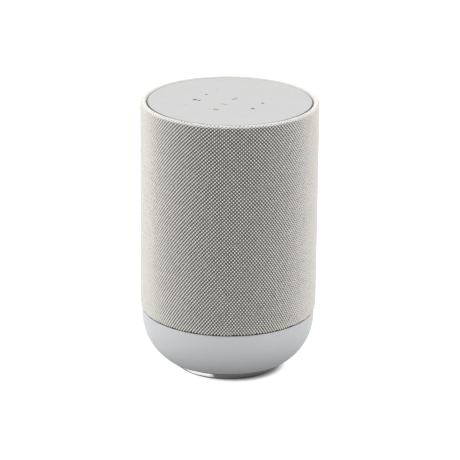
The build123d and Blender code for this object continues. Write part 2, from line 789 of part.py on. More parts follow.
def base_shell():
    """Bowl with a lip for the grille, posts and bosses inside, and a connector bay at the rear."""
    outer = bowl(0, foot_height)
    shell = outer - bowl(base_wall, floor_z)
    lip = ring(lip_r, lip_inner_r, seam_height - ledge_depth, enclosure_bottom)
    lip += ring(base_r - base_wall / 2, lip_inner_r, seam_height - ledge_depth, seam_height)
    shell += lip - (ribbon_notch() & disc(base_r - base_wall, 0, body_height))
    posts = polar(enclosure_post_r, enclosure_post_angles)
    boards = polar(main_post_r, main_post_angles)
    standoffs = polar(power_boss_r, power_boss_angles)
    shell += [peg & outer for peg in pegs(posts, boss_diameter / 2, floor_z, seam_height)]
    shell += pegs(posts, boss_diameter / 2, arc_z, enclosure_bottom)
    shell += [peg & outer for peg in pegs(boards, post_diameter / 2, floor_z, main_board_height)]
    shell += pegs(standoffs, post_diameter / 2, floor_z, power_board_z)
    shell += pegs(foot_screw_places(), foot_pillar_diameter / 2, floor_z, floor_z + foot_boss_height)
    sleeve_w, sleeve_h = bay_width / 2 + base_wall, bay_height / 2 + base_wall
    sleeve = block((-sleeve_w, sleeve_w), (bay_face, base_r), (bay_mid - sleeve_h, bay_mid + sleeve_h))
    shell += sleeve & outer
    shell -= along_y(RectangleRounded(bay_width, bay_height, bay_round), (0, 0), bay_face, cloth_r)
    shell -= pegs(posts, screw_pilot, enclosure_bottom - pilot_depth, enclosure_bottom)
    shell -= pegs(boards, screw_pilot, main_board_height - pilot_depth, main_board_height)
    shell -= pegs(standoffs, screw_pilot, floor_z, power_board_z)
    return shell - pegs(foot_screw_places(), screw_pilot, foot_height, floor_z + foot_boss_height)


def foot_r(z):
    """Radius of the sloping foot at a height."""
    return foot_low_r + (z - pad_proud) * slope_run


def slanted(low, high, outer, inner):
    """Outline between two heights that follows the slope of the foot, at two depths behind it."""
    return polygon(
        (foot_r(low) - outer * slope_depth, low),
        (foot_r(high) - outer * slope_depth, high),
        (foot_r(high) - inner * slope_depth, high),
        (foot_r(low) - inner * slope_depth, low),
    )


def front_arc(face, half_angle):
    """Part turn about Z, centred on the front."""
    return Rot(0, 0, -90 - half_angle) * spun(face, 2 * half_angle)


def foot_cover():
    """Sloping dish with pillars under the base, a groove for the pad and a window for the light."""
    run = foot_wall * slope_depth
    dish = spun(
        polygon(
            (0, pad_proud),
            (foot_low_r, pad_proud),
            (foot_r(foot_rim), foot_rim),
            (foot_r(foot_rim) - run, foot_rim),
            (foot_r(foot_floor_top) - run, foot_floor_top),
            (0, foot_floor_top),
        )
    )
    dish += pegs(foot_screw_places(), foot_pillar_diameter / 2, pad_proud, foot_height)
    dish -= ring(pad_outer_r + fit_gap, pad_inner_r - fit_gap, pad_proud, pad_proud + pad_groove)
    dish -= pegs(foot_screw_places(), screw_hole_diameter / 2, pad_proud, foot_height)
    dish -= pegs(foot_screw_places(), screw_head_diameter / 2 + fit_gap, pad_proud, foot_screw_z)
    window = slanted(light_bottom, light_top, -foot_wall, 1.5 * foot_wall)
    return dish - front_arc(window, light_half_angle)


def status_lens():
    """Light bar: a plug that fills the window and a flange behind the wall."""
    low, high = light_bottom + fit_gap, light_top - fit_gap
    plug = slanted(low, high, fit_gap / 2, foot_wall + light_flange)
    side = degrees(fit_gap / foot_r(low))
    behind = foot_wall + fit_gap / 2
    back = slanted(low, foot_rim, behind, behind + light_flange)
    return front_arc(plug, light_half_angle - side) + front_arc(back, light_half_angle + light_flange_angle)


def status_board():
    middle = Pos(light_board_r + light_board_thickness / 2, foot_floor_top + light_board_height / 2)
    return front_arc(middle * Rectangle(light_board_thickness, light_board_height), light_half_angle)


def status_leds():
    """Row of light-emitting diodes on the front of the curved board."""
    distance = light_board_r + light_board_thickness + led_depth / 2
    height = foot_floor_top + light_board_height / 2
    body = Pos(distance, 0, height) * Box(led_depth, led_width, led_height)
    step = 2 * light_half_angle / light_count
    turns = [-90 - light_half_angle + (count + 0.5) * step for count in range(light_count)]
    return Compound([Rot(0, 0, turn) * body for turn in turns])


def foot_nodes():
    length = floor_z + foot_boss_height - foot_screw_z - screw_tip_gap
    return {
        "foot_cover": foot_cover(),
        "foot_pad": ring(pad_outer_r, pad_inner_r, 0, pad_proud + pad_groove),
        "foot_screws": screws(foot_screw_places(), foot_screw_z, length, upward=True),
        "status_lens": status_lens(),
        "status_board": status_board(),
        "status_leds": status_leds(),
    }


def round_board(radius, low, hole_places):
    """Round circuit board with a notch at the rear and screw holes."""
    top = low + board_thickness
    board = disc(radius, low, top)
    half = rear_notch_half_width
    board -= block((-half, half), (rear_notch_y, 2 * radius), (low, top))
    return board - pegs(hole_places, screw_hole_diameter / 2, low, top)


def transformer_iron():
    """Iron core with two windows round its middle leg."""
    wide, tall = transformer_width, part_room - transformer_headroom
    x, y = transformer_place
    core = Box(wide, transformer_core, tall)
    limb = transformer_core / 2
    window_wide = (wide - 2 * limb - transformer_core) / 2
    away = (transformer_core + window_wide) / 2
    window = Box(window_wide, transformer_core, tall - 2 * limb)
    core -= [Pos(away, 0, 0) * window, Pos(-away, 0, 0) * window]
    return Pos(x, y, power_board_top + tall / 2) * core


def transformer_winding():
    """Copper winding round the middle leg of the core."""
    wide, tall = transformer_width, part_room - transformer_headroom
    x, y = transformer_place
    limb = transformer_core / 2
    coil = Box(wide - 2 * limb - 2 * fit_gap, transformer_depth, tall - 2 * limb - 2 * fit_gap)
    leg = Box(transformer_core + 2 * fit_gap, transformer_core + 2 * fit_gap, tall)
    return Pos(x, y, power_board_top + tall / 2) * (coil - leg)


def heat_sink():
    """Finned block for the amplifier."""
    wide, deep, tall = heat_sink_width, heat_sink_depth, part_room - heat_sink_headroom
    x, y = heat_sink_place
    low = power_board_top
    sink = block((x - wide / 2, x + wide / 2), (y - deep / 2, y + deep / 2), (low, low + heat_sink_base))
    pitch = (wide - heat_sink_fin) / (heat_sink_fins - 1)
    for count in range(heat_sink_fins):
        left = x - wide / 2 + count * pitch
        sink += block((left, left + heat_sink_fin), (y - deep / 2, y + deep / 2), (low, low + tall))
    return sink


def shield_can():
    x, y = shield_place
    lid = RectangleRounded(shield_width, shield_depth, shield_corner)
    return Pos(x, y, main_board_top) * extrude(lid, amount=shield_height)


def board_nodes():
    mains = polar(power_boss_r, power_boss_angles)
    upper = polar(main_post_r, main_post_angles)
    low_screws = screws(mains, power_board_top, board_thickness + board_standoff - screw_tip_gap)
    high_screws = screws(upper, main_board_top, board_thickness + pilot_depth - screw_tip_gap)
    can_top = main_board_height - capacitor_headroom
    capacitors = pegs(capacitor_places, capacitor_diameter / 2, power_board_top, can_top)
    return {
        "power_board": round_board(power_board_r, power_board_z, mains),
        "main_board": round_board(main_board_r, main_board_height, upper),
        "board_screws": Compound([*low_screws.solids(), *high_screws.solids()]),
        "transformer_core": transformer_iron(),
        "transformer_winding": transformer_winding(),
        "bulk_capacitors": Compound(capacitors),
        "amp_heat_sink": heat_sink(),
        "processor_shield": shield_can(),
    }


def io_panel():
    """Connector panel behind the bay opening, with an opening for each connector and two posts."""
    wide, tall = bay_width + 2 * bay_overlap, bay_height + 2 * bay_overlap
    panel = along_y(RectangleRounded(wide, tall, bay_round + bay_overlap), (0, 0), bay_back, bay_face)
    for place in io_post_places:
        panel += along_y(Circle(io_post_diameter / 2), place, io_board_y, bay_back)
        panel -= along_y(Circle(screw_pilot), place, io_board_y, bay_back)
    inlet = SlotOverall(inlet_outer_width + 2 * fit_gap, inlet_outer_height + 2 * fit_gap)
    usb = SlotOverall(usb_width + 2 * fit_gap, usb_height + 2 * fit_gap)
    lever = Rectangle(
        switch_knob_width + switch_travel + 2 * moving_gap, switch_knob_height + 2 * moving_gap
    )
    openings = (
        (inlet, inlet_place),
        (usb, usb_place),
        (Circle(aux_barrel_diameter / 2 + fit_gap), aux_place),
        (Circle(button_diameter / 2 + moving_gap), button_place),
        (lever, switch_place),
    )
    return panel - [along_y(face, place, bay_back, bay_face) for face, place in openings]


def pin_places():
    x, z = inlet_place
    return [(x - pin_pitch / 2, z), (x + pin_pitch / 2, z)]


def power_inlet():
    """Mains inlet: a round-ended socket with a flange behind the panel and two holes for its pins."""
    outer = SlotOverall(inlet_outer_width, inlet_outer_height)
    body = along_y(outer, inlet_place, inlet_front - inlet_length, inlet_front)
    flange = SlotOverall(inlet_outer_width + 2 * inlet_wall, inlet_outer_height + 2 * inlet_wall)
    body += along_y(flange, inlet_place, bay_back - inlet_flange, bay_back)
    cavity = SlotOverall(inlet_cavity_width, inlet_cavity_height)
    body -= along_y(cavity, inlet_place, inlet_floor, inlet_front)
    pin = Circle(pin_diameter / 2)
    return body - [along_y(pin, place, inlet_front - inlet_length, inlet_floor) for place in pin_places()]


def power_pins():
    back = inlet_front - inlet_length - pin_tail
    pin = Circle(pin_diameter / 2)
    return Compound([along_y(pin, place, back, inlet_floor + pin_length) for place in pin_places()])


def usb_port():
    """Service port: plastic body, thin metal shell and a tongue."""
    front = bay_face + connector_proud
    floor = front - usb_depth
    block_face = Rectangle(usb_width + 2 * usb_body, usb_height + 2 * usb_body)
    body = along_y(block_face, usb_place, io_board_y, floor)
    shell = SlotOverall(usb_width, usb_height)
    hollow = SlotOverall(usb_width - 2 * usb_wall, usb_height - 2 * usb_wall)
    body += along_y(shell, usb_place, floor, front) - along_y(hollow, usb_place, floor, front)
    tongue = Rectangle(usb_width - usb_height, usb_tongue)
    return body + along_y(tongue, usb_place, floor, front - usb_tongue_depth)


def aux_jack():
    """Audio socket: square body on the board and a round barrel through the panel."""
    front = bay_face + connector_proud
    body = along_y(Rectangle(aux_body, aux_body), aux_place, io_board_y, bay_back - fit_gap)
    body += along_y(Circle(aux_barrel_diameter / 2), aux_place, bay_back - fit_gap, front)
    return body - along_y(Circle(aux_bore_diameter / 2), aux_place, front - aux_bore_depth, front)


def pairing_button():
    """Push button: cap through the panel, flange that keeps it in, stem toward its switch."""
    collar = bay_back - moving_gap
    plunger = io_board_y + tact_height + tact_plunger
    button = along_y(Circle(button_diameter / 2), button_place, collar, bay_face + button_proud)
    button += along_y(Circle(button_flange_diameter / 2), button_place, collar - button_flange, collar)
    stem_end = plunger + button_travel + fit_gap
    return button + along_y(Circle(button_stem_diameter / 2), button_place, stem_end, collar - button_flange)


def button_switch():
    top = io_board_y + tact_height
    body = along_y(Rectangle(tact_size, tact_size), button_place, io_board_y, top)
    return body + along_y(Circle(button_stem_diameter / 2), button_place, top, top + tact_plunger)


def mic_switch():
    """Slide switch at the left end of its travel: lever, guide plate and stem."""
    x, z = switch_place
    place = (x - switch_travel / 2, z)
    guide = bay_back - moving_gap
    lever = Rectangle(switch_knob_width, switch_knob_height)
    slide = along_y(lever, place, guide, bay_face + switch_proud)
    slide += along_y(Rectangle(switch_plate_width, switch_plate_height), place, guide - switch_plate, guide)
    stem_end = io_board_y + switch_body + moving_gap
    return slide + along_y(lever, place, stem_end, guide - switch_plate)


def switch_housing():
    face = Rectangle(switch_plate_width + switch_travel, switch_plate_height)
    return along_y(face, switch_place, io_board_y, io_board_y + switch_body)


def io_board():
    """Upright connector board behind the panel."""
    wide, tall = io_board_right - io_board_left, bay_height - 2 * io_board_margin
    middle = ((io_board_left + io_board_right) / 2, 0)
    board = along_y(Rectangle(wide, tall), middle, io_board_y - board_thickness, io_board_y)
    hole = Circle(screw_hole_diameter / 2)
    back = io_board_y - board_thickness
    return board - [along_y(hole, place, back, io_board_y) for place in io_post_places]


def io_screws():
    """Two screws through the connector board into the posts of the panel."""
    back = io_board_y - board_thickness
    head = RegularPolygon(screw_head_diameter / 2, head_sides)
    shank = RegularPolygon(screw_shank_diameter / 2, shank_sides)
    far = io_board_y + pilot_depth
    return Compound(
        [
            along_y(head, place, back - screw_head_height, back) + along_y(shank, place, back, far)
            for place in io_post_places
        ]
    )


def rear_nodes():
    return {
        "io_panel": io_panel(),
        "io_board": io_board(),
        "io_screws": io_screws(),
        "power_inlet": power_inlet(),
        "power_pins": power_pins(),
        "usb_port": usb_port(),
        "aux_jack": aux_jack(),
        "pairing_button": pairing_button(),
        "button_switch": button_switch(),
        "mic_switch": mic_switch(),
        "switch_body": switch_housing(),
    }


def touch_ribbon():
    """Flat flexible cable from the touch board down the rear to the main board."""
    start = deck_rim_r - deck_rim_width - ribbon_end_inset
    path = FilletPolyline(
        (start, ribbon_top_z),
        (ribbon_y, ribbon_top_z),
        (ribbon_y, ribbon_low_z),
        (ribbon_main_y, ribbon_low_z),
        radius=ribbon_bend,
    )
    strip = trace(path, ribbon_thickness)
    return extrude(Plane.YZ * strip, amount=ribbon_width / 2, both=True)


def ribbon_connectors():
    """One connector under the touch board and one on the main board."""
    half, depth = connector_width / 2, connector_depth
    upper_y = deck_rim_r - deck_rim_width - ribbon_end_inset
    board = panel_bottom - touch_board_thickness
    upper = block((-half, half), (upper_y, upper_y + depth), (board - connector_height, board))
    top = ribbon_low_z - ribbon_thickness / 2
    lower = block((-half, half), (ribbon_main_y, ribbon_main_y + depth), (main_board_top, top))
    return Compound([upper, lower])


def nodes():
    """Every piece of the speaker by name."""
    found = {
        "cloth_sleeve": cloth_sleeve(),
        "grille_frame": grille_frame(),
        "top_panel": top_panel(),
        "touch_board": touch_board(),
        "microphones": microphones(),
        "top_deck": top_deck(),
        "deck_screws": screws(
            corner_places(deck_screw_angles), deck_floor_top, deck_floor + pilot_depth - screw_tip_gap
        ),
        "enclosure_shell": enclosure_shell(),
        "tweeter_pod": tweeter_pod(),
        "pod_screws": screws(
            corner_places(pod_screw_angles),
            pod_bottom + enclosure_wall,
            enclosure_wall + pilot_depth - screw_tip_gap,
        ),
        "enclosure_screws": screws(
            polar(enclosure_post_r, enclosure_post_angles),
            enclosure_bottom + enclosure_wall,
            enclosure_wall + pilot_depth - screw_tip_gap,
        ),
        "base_shell": base_shell(),
        "touch_ribbon": touch_ribbon(),
        "ribbon_connectors": ribbon_connectors(),
    }
    found.update({name: woofer_place() * shape for name, shape in woofer_nodes().items()})
    found.update(tweeter_nodes())
    found.update(foot_nodes())
    found.update(board_nodes())
    found.update(rear_nodes())
    return found


os.makedirs("parts", exist_ok=True)
for name, shape in nodes().items():
    export_step(shape, f"parts/{name}.step")
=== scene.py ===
"""Smart speaker: woven cloth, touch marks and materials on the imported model, with camera, floor and light.

Metres, in the model's own frame: +Z is up and the front faces -Y.
"""

import json
import math

import bpy
import numpy as np
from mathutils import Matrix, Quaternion, Vector


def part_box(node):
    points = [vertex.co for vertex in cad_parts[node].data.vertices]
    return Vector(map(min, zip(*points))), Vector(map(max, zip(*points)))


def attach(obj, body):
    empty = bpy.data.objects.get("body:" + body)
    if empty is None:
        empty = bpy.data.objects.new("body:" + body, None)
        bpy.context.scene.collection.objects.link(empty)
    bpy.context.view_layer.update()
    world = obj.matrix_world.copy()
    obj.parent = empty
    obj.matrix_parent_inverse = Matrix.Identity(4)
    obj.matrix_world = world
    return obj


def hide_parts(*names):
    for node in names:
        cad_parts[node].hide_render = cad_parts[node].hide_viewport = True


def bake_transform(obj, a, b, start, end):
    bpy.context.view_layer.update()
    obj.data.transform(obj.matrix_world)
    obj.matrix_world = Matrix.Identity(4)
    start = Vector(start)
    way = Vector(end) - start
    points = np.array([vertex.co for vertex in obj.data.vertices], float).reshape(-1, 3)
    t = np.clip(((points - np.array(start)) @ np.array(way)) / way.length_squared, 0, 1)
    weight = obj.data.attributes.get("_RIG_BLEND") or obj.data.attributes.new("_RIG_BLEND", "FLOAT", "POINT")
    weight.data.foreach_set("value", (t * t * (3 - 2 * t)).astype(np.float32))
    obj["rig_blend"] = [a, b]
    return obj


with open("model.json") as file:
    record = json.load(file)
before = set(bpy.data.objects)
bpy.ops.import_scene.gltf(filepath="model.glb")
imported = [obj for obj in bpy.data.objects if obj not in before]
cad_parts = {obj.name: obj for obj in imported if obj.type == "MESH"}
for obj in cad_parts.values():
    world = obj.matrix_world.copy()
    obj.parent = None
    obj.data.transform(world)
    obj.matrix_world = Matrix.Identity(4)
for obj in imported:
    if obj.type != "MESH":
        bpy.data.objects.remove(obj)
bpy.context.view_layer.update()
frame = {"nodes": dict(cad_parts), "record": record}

# Camera: the photograph's angle, lens and framing
view_azimuth = math.radians(30.0)  # to the right of the front
view_elevation = math.radians(19.45)
view_distance = 2.1517
view_target = Vector((0.0, 0.0, 0.1132))
view_roll = 0.00954  # in radians
view_limit = 50.0  # nothing farther off is drawn
focal_length = 210.0  # in millimetres, as the sensor's width is
sensor_width = 36.0
picture_shift = 0.0029  # share of the picture's width

# Cloth: the outline of its outer face
cloth_low, cloth_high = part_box("cloth_sleeve")
cloth_radius = cloth_high.x
seam_z = cloth_low.z
taper_height = 0.007  # draw-in above the seam
taper_inset = 0.0009
rim_drop = 0.0011  # the cloth is drawn close over the frame, so its crest lies below the top of its solid
rim_thin = 0.95  # share of its relief that the cloth loses there
rim_round = 0.0024
hem_run = 0.0032  # down beside the panel

# Cloth: the outline as a run from the seam, over draw-in, straight side, rim and hem
taper_radius = (taper_height**2 + taper_inset**2) / (2 * taper_inset)
taper_turn = math.asin(taper_height / taper_radius)
taper_z = seam_z + taper_height
rim_z = cloth_high.z - rim_drop - rim_round
side_start = taper_radius * taper_turn
rim_start = side_start + rim_z - taper_z
hem_start = rim_start + math.pi * rim_round
cloth_run = hem_start + hem_run

# Cloth: how the threads of its plain weave lie
thread_columns = 372
thread_pitch = 0.00153
thread_rows = round(cloth_run / thread_pitch)
row_pitch = cloth_run / thread_rows
skew_rows = 26  # rows fall by this many in one turn to the right
row_crowding = 0.055  # share by which rows lie closer at the rim and wider at the seam
spread_turn = math.radians(-57.0)  # side on which the threads lie widest apart
even_spread = 0.18  # share by which they lie wider there and behind, and closer between
top_spread = 0.12  # share by which they lie wider there at the rim and closer at the seam

# Cloth: dark threads, with depths below the outer face
dark_depth = 0.00088  # between the light floats
dark_dip = 0.00095  # under a light float
steps_per_row = 2  # steps of the dark threads' sheet along each row

# Cloth: light floats, with depths below the outer face
float_length = 0.00152
float_width = 0.00142
float_sides = 8  # the quads of a float's crown are written for eight
float_foot = 0.00095  # depth of a float's foot
float_proud = 0.00040  # height of a float's crown outside the face
crown_share = 0.40  # width of the crown as a share of the foot's
rim_swell = 0.9  # share by which floats grow inside the rim, so that they close up
swell_start = 0.0002  # past the start of the rim
swell_blend = 0.0018  # run over which they grow
seam_overhang = 0.45 * row_pitch  # the middles of the floats start this far below the seam
hem_margin = 0.35 * row_pitch  # and stop this far before the end of the hem
cloth_bands = 4  # pieces that hold the floats
weave_seed = 11
size_spread = 0.04  # how far floats vary in length and width, as a share
crest_low = 0.92  # lowest crown, as a share of the full height
lean_spread = 0.06  # how far floats lean, as a slope
twist_shift = 7.0  # farthest that the yarn's pattern shifts from float to float

# Touch marks: ink on the panel
panel_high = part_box("top_panel")[1]
panel_top = panel_high.z
panel_radius = panel_high.x
ink_height = 0.00004
ink_step = 0.1  # share of it by which each mark is higher than the last, so that crossing ones stay apart
corner_sides = 10  # of each rounded quarter of a mark
dot_size = 0.0021
bar_length = 0.0042
bar_width = 0.0012
back_slant = math.radians(73.0)

# Touch marks: place on the panel, width, depth and turn of each
touch_shapes = {
    "left_wide_dot": (-0.0251, -0.0118, dot_size * 1.65, dot_size * 1.65, 0.0),
    "left_small_dot": (-0.0213, -0.0118, dot_size * 1.2, dot_size * 1.2, 0.0),
    "left_back_dot": (-0.0246, 0.0054, dot_size, dot_size, 0.0),
    "back_stroke": (0.0006, 0.0066, bar_length * 1.35, bar_width, back_slant),
    "front_left_bar": (0.0013, -0.0263, bar_width, bar_length * 0.8, 0.0),
    "front_right_bar": (0.0037, -0.0263, bar_width, bar_length * 0.8, 0.0),
    "plus_across": (0.0258, -0.0087, bar_length * 0.9, bar_width, 0.0),
    "plus_upright": (0.0258, -0.0087, bar_width, bar_length, 0.0),
    "right_back_dot": (0.0250, 0.0082, dot_size * 1.25, dot_size * 1.25, 0.0),
    "middle_line": (0.0010, -0.0104, bar_length * 1.3, bar_width * 0.5, 0.0),
}

# Woofer rings that flex: roll outside the cone's rim, flat lips beside it, seat of the spider on the basket
surround_roll = 0.0055
surround_lip = 0.0008
spider_seat = 0.0045

# Light bar in the foot: its glow over its height and along its length, as a slope from the front
lens_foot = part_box("status_lens")[0].z
lens_rise = (lens_foot, lens_foot + 0.0014)  # heights between which the glow comes up
lens_reach = math.tan(math.radians(17.5))  # slope at either end
lens_stops = (0.04, 0.32, 0.85, 0.99)  # shares of the length: it begins, is full, starts to fade, ends
lens_lean = 8.0  # the ends of the glow lean by this slope for each metre of height
lens_middle = lens_foot + 0.0031  # height at which they are not shifted by the lean
lens_dim = 0.06  # share of the colour where there is no glow
lens_glow = 0.55

# Narrow gaps that keep the light out: above the ledge of the base at the seam, and round the panel
along_axis = (0.0, 0.0, 1.0)
off_axis = (1.0, 1.0, 0.0)
ledge_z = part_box("grille_frame")[0].z  # the grille frame stands on the ledge
ledge_heights = (ledge_z - 0.0002, ledge_z - 0.00002)
ledge_share = 0.06
edge_reach = (panel_radius - 0.0009, panel_radius - 0.0004)  # where the panel's rounded edge darkens
edge_share = 0.25

# Materials: the range that noise mostly fills
noise_low = 0.3
noise_high = 0.7

# Studio: floor, with distances from the middle of its glow
floor_radius = 6.0
floor_sides = 96
floor_tone = 0.75
floor_dark = 0.06  # under the foot, as the base shades it
dark_reach = (0.045, 0.12)  # distances between which the dark eases to the tone
floor_glow = 0.16  # beside the foot, so that the contact shadow stays
glow_reach = (0.0345, 0.0430)  # distances between which the glow comes up to white
glow_middle = (0.0062, 0.0, 0.0)

# Studio: lights
world_strength = 0.87
key_place = (-1.25, -0.85, 0.75)
key_size = 1.8
key_power = 14.5
fill_place = (1.2, 0.44, 0.7)
fill_size = 1.2
fill_power = 5.5


def add_object(name, data):
    """Object for a mesh, a camera or a light, in the scene."""
    item = bpy.data.objects.new(name, data)
    bpy.context.scene.collection.objects.link(item)
    return item


def new_material(name, roughness, metallic=0.0):
    """Material with its principled shader, ready for more nodes."""
    material = bpy.data.materials.new(name)
    material.use_nodes = True
    tree = material.node_tree
    shader = tree.nodes["Principled BSDF"]
    shader.inputs["Roughness"].default_value = roughness
    shader.inputs["Metallic"].default_value = metallic
    return material, tree, shader


def add_node(tree, kind, **settings):
    """Node of a kind, with settings given by property name."""
    node = tree.nodes.new(kind)
    for key, value in settings.items():
        setattr(node, key, value)
    return node


def object_place(tree):
    """Place in the object's own space."""
    return add_node(tree, "ShaderNodeTexCoord").outputs["Object"]


def calculate(tree, operation, *terms):
    """Result of an operation on numbers and other nodes' outputs."""
    node = add_node(tree, "ShaderNodeMath", operation=operation)
    for socket, term in zip(node.inputs, terms):
        if isinstance(term, float):
            socket.default_value = term
        else:
            tree.links.new(term, socket)
    return node.outputs["Value"]


def map_range(tree, value, low, high, **settings):
    """Node that turns a value between two limits into a share."""
    node = add_node(tree, "ShaderNodeMapRange", **settings)
    node.inputs["From Min"].default_value = low
    node.inputs["From Max"].default_value = high
    tree.links.new(value, node.inputs["Value"])
    return node


def noise(tree, scale, detail=3.0, roughness=0.55, squeeze=(1.0, 1.0, 1.0)):
    """Noise in the object's own space, with its features squeezed along the axes."""
    mapping = add_node(tree, "ShaderNodeMapping")
    mapping.inputs["Scale"].default_value = squeeze
    texture = add_node(tree, "ShaderNodeTexNoise")
    texture.inputs["Scale"].default_value = scale
    texture.inputs["Detail"].default_value = detail
    texture.inputs["Roughness"].default_value = roughness
    tree.links.new(object_place(tree), mapping.inputs["Vector"])
    tree.links.new(mapping.outputs["Vector"], texture.inputs["Vector"])
    return texture.outputs["Fac"]


def ramp(tree, value, stops):
    """Colour ramp over a value: pairs of position and colour."""
    node = add_node(tree, "ShaderNodeValToRGB")
    bands = node.color_ramp.elements
    for index, (position, colour) in enumerate(stops):
        element = bands[index] if index < 2 else bands.new(position)
        element.position = position
        element.color = (*colour, 1.0)
    tree.links.new(value, node.inputs["Fac"])
    return node.outputs["Color"]


def tinted(colour, factor):
    """Colour made lighter or darker by a factor."""
    return tuple(channel * factor for channel in colour)


def vary_colour(tree, shader, value, colour, spread):
    """Base colour that wanders a little either side of the mean with a value."""
    stops = ((noise_low, tinted(colour, 1 - spread)), (noise_high, tinted(colour, 1 + spread)))
    tree.links.new(ramp(tree, value, stops), shader.inputs["Base Color"])


def vary_roughness(tree, shader, value, low, high):
    """Roughness that goes from low to high with a value."""
    node = add_node(tree, "ShaderNodeMapRange")
    node.inputs["To Min"].default_value = low
    node.inputs["To Max"].default_value = high
    tree.links.new(value, node.inputs["Value"])
    tree.links.new(node.outputs["Result"], shader.inputs["Roughness"])


def add_bump(tree, shader, value, strength, distance):
    """Fine relief of the surface from a value."""
    node = add_node(tree, "ShaderNodeBump")
    node.inputs["Strength"].default_value = strength
    node.inputs["Distance"].default_value = distance
    tree.links.new(value, node.inputs["Height"])
    tree.links.new(node.outputs["Normal"], shader.inputs["Normal"])


def plastic(name, colour, roughness, grain=2400.0, relief=0.12, spread=0.03, coat=0.0, shine=0.5):
    """Moulded plastic: fine spark-eroded grain, slightly uneven gloss and colour."""
    material, tree, shader = new_material(name, roughness)
    vary_colour(tree, shader, noise(tree, scale=60.0), colour, spread)
    gloss = noise(tree, scale=140.0)
    vary_roughness(tree, shader, gloss, low=roughness * 0.9, high=roughness * 1.1)
    add_bump(tree, shader, noise(tree, scale=grain, detail=2.0), strength=relief, distance=0.00004)
    shader.inputs["Specular IOR Level"].default_value = shine
    shader.inputs["Coat Weight"].default_value = coat
    shader.inputs["Coat Roughness"].default_value = 0.04
    return material


def shade_gap(material, axes, low, high, share):
    """Darken the base colour past a height or a distance from the axis, where a gap keeps the light out."""
    tree = material.node_tree
    shader = tree.nodes["Principled BSDF"]
    colour = shader.inputs["Base Color"].links[0].from_socket
    part = add_node(tree, "ShaderNodeVectorMath", operation="MULTIPLY")
    part.inputs[1].default_value = axes
    reach = add_node(tree, "ShaderNodeVectorMath", operation="LENGTH")
    tree.links.new(object_place(tree), part.inputs[0])
    tree.links.new(part.outputs["Vector"], reach.inputs[0])
    rise = map_range(tree, reach.outputs["Value"], low, high)
    mix = add_node(tree, "ShaderNodeMix", data_type="RGBA", blend_type="MULTIPLY")
    mix.inputs["B"].default_value = (share, share, share, 1.0)
    tree.links.new(rise.outputs["Result"], mix.inputs["Factor"])
    tree.links.new(colour, mix.inputs["A"])
    tree.links.new(mix.outputs["Result"], shader.inputs["Base Color"])


def metal(name, colour, roughness, squeeze=(1.0, 1.0, 12.0)):
    """Metal with a fine directional finish."""
    material, tree, shader = new_material(name, roughness, metallic=1.0)
    vary_colour(tree, shader, noise(tree, scale=80.0), colour, spread=0.06)
    streaks = noise(tree, scale=900.0, detail=4.0, squeeze=squeeze)
    vary_roughness(tree, shader, streaks, low=roughness * 0.75, high=roughness * 1.3)
    add_bump(tree, shader, streaks, strength=0.08, distance=0.00003)
    return material


def rubber(name, colour):
    """Dull rubber with a coarse skin."""
    material, tree, shader = new_material(name, roughness=0.8)
    vary_colour(tree, shader, noise(tree, scale=90.0), colour, spread=0.12)
    add_bump(tree, shader, noise(tree, scale=1500.0, detail=4.0), strength=0.35, distance=0.00008)
    shader.inputs["Specular IOR Level"].default_value = 0.3
    return material


def fibrous(name, colour):
    """Pressed paper, coated silk or treated cotton: visible short fibres."""
    material, tree, shader = new_material(name, roughness=0.85)
    fibres = noise(tree, scale=700.0, detail=6.0, roughness=0.7)
    vary_colour(tree, shader, fibres, colour, spread=0.22)
    add_bump(tree, shader, fibres, strength=0.4, distance=0.0001)
    shader.inputs["Sheen Weight"].default_value = 0.15
    return material


def circuit_board(name, colour):
    """Solder mask over faint copper tracks."""
    material, tree, shader = new_material(name, roughness=0.35)
    tracks = add_node(tree, "ShaderNodeTexBrick", offset=0.5)
    tracks.inputs["Scale"].default_value = 160.0
    tracks.inputs["Mortar Size"].default_value = 0.03
    tracks.inputs["Color1"].default_value = (*colour, 1.0)
    tracks.inputs["Color2"].default_value = (*tinted(colour, 0.8), 1.0)
    tracks.inputs["Mortar"].default_value = (*tinted(colour, 1.7), 1.0)
    tree.links.new(object_place(tree), tracks.inputs["Vector"])
    tree.links.new(tracks.outputs["Color"], shader.inputs["Base Color"])
    vary_roughness(tree, shader, noise(tree, scale=200.0), low=0.28, high=0.42)
    return material


def lens_level(tree):
    """Share of the full glow at each place on the light bar."""
    axes = add_node(tree, "ShaderNodeSeparateXYZ")
    tree.links.new(object_place(tree), axes.inputs["Vector"])
    height = axes.outputs["Z"]
    slope = calculate(tree, "DIVIDE", axes.outputs["X"], axes.outputs["Y"])
    leaning = calculate(tree, "MULTIPLY_ADD", height, lens_lean, slope)
    even = calculate(tree, "SUBTRACT", leaning, lens_lean * lens_middle)
    span = map_range(tree, even, lens_reach, -lens_reach)
    rise = map_range(tree, height, *lens_rise, interpolation_type="SMOOTHSTEP")
    off = (0.0, 0.0, 0.0)
    on = (1.0, 1.0, 1.0)
    along = ramp(tree, span.outputs["Result"], zip(lens_stops, (off, on, on, off)))
    return calculate(tree, "MULTIPLY", along, rise.outputs["Result"])


def lit_lens(name, colour):
    """Frosted lens whose glow comes up over its height and fades out toward its ends."""
    material, tree, shader = new_material(name, roughness=0.3)
    add_bump(tree, shader, noise(tree, scale=1800.0, detail=2.0), strength=0.1, distance=0.00003)
    glow = ramp(tree, lens_level(tree), ((0.0, tinted(colour, lens_dim)), (1.0, colour)))
    tree.links.new(glow, shader.inputs["Base Color"])
    tree.links.new(glow, shader.inputs["Emission Color"])
    shader.inputs["Emission Strength"].default_value = lens_glow
    return material


